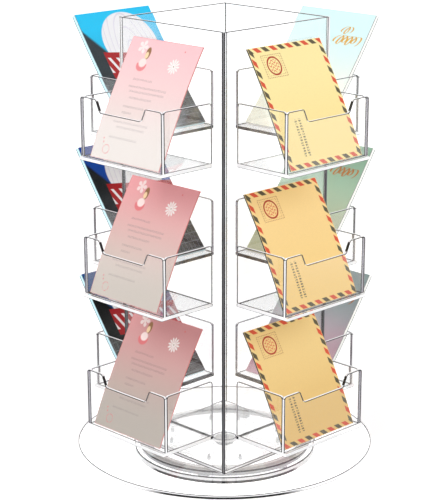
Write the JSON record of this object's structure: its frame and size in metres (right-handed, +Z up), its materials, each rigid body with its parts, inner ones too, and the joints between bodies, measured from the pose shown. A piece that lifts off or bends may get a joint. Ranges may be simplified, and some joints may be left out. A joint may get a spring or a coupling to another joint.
{
  "type": "rotating display rack",
  "caption": "Countertop rotating rack for greeting cards: a square clear column with open-topped pockets on each side, on a round disc that turns on a ball-race turntable.",
  "frame": {"origin": "on the axis of rotation, at counter height under the feet", "axes": "+Z up along the axis of rotation; the column's sides face -Y (front), +X (right), +Y (back) and -X (left)"},
  "size_m": [0.3809, 0.381, 0.5685],
  "materials": {
    "clear_disc": "clear cast acrylic, polished",
    "clear_plate": "clear cast acrylic, polished",
    "clear_panel": "clear cast acrylic, polished",
    "clear_pocket": "clear cast acrylic, polished",
    "race_clear": "clear acrylic, turned ball track",
    "cage_plastic": "moulded natural acetal",
    "white_nylon": "turned white nylon",
    "steel": "plated steel",
    "feet_rubber": "translucent self-adhesive rubber"
  },
  "bodies": {
    "turntable": {"turntable_plate": "clear_plate", "base_feet": "feet_rubber", "lower_race": "race_clear", "pivot_bush": "white_nylon"},
    "cage": {"ball_cage": "cage_plastic", "bearing_balls": "steel"},
    "rack": {"upper_race": "race_clear", "base_disc": "clear_disc", "hub_puck": "clear_plate", "pivot_bolt": "steel", "pivot_washer": "steel", "floor_screws": "steel", "column_floor": "clear_plate", "panel_front": "clear_panel", "pocket_front_lower_floor": "clear_pocket", "pocket_front_lower_cheeks": "clear_pocket", "pocket_front_lower_face": "clear_pocket", "pocket_front_middle_floor": "clear_pocket", "pocket_front_middle_cheeks": "clear_pocket", "pocket_front_middle_face": "clear_pocket", "pocket_front_upper_floor": "clear_pocket", "pocket_front_upper_cheeks": "clear_pocket", "pocket_front_upper_face": "clear_pocket", "panel_right": "clear_panel", "pocket_right_lower_floor": "clear_pocket", "pocket_right_lower_cheeks": "clear_pocket", "pocket_right_lower_face": "clear_pocket", "pocket_right_middle_floor": "clear_pocket", "pocket_right_middle_cheeks": "clear_pocket", "pocket_right_middle_face": "clear_pocket", "pocket_right_upper_floor": "clear_pocket", "pocket_right_upper_cheeks": "clear_pocket", "pocket_right_upper_face": "clear_pocket", "panel_back": "clear_panel", "pocket_back_lower_floor": "clear_pocket", "pocket_back_lower_cheeks": "clear_pocket", "pocket_back_lower_face": "clear_pocket", "pocket_back_middle_floor": "clear_pocket", "pocket_back_middle_cheeks": "clear_pocket", "pocket_back_middle_face": "clear_pocket", "pocket_back_upper_floor": "clear_pocket", "pocket_back_upper_cheeks": "clear_pocket", "pocket_back_upper_face": "clear_pocket", "panel_left": "clear_panel", "pocket_left_lower_floor": "clear_pocket", "pocket_left_lower_cheeks": "clear_pocket", "pocket_left_lower_face": "clear_pocket", "pocket_left_middle_floor": "clear_pocket", "pocket_left_middle_cheeks": "clear_pocket", "pocket_left_middle_face": "clear_pocket", "pocket_left_upper_floor": "clear_pocket", "pocket_left_upper_cheeks": "clear_pocket", "pocket_left_upper_face": "clear_pocket"}
  },
  "joints": [
    {"name": "rack_spin", "type": "hinge", "parent": "turntable", "child": "rack", "pos_m": [0, 0, 0.0215], "axis": [0, 0, 1], "continuous": true},
    {"name": "cage_spin", "type": "hinge", "parent": "turntable", "child": "cage", "pos_m": [0, 0, 0.0133], "axis": [0, 0, 1], "continuous": true}
  ],
  "couplings": [
    {"joint": "cage_spin", "follows": "rack_spin", "ratio": 0.5}
  ]
}
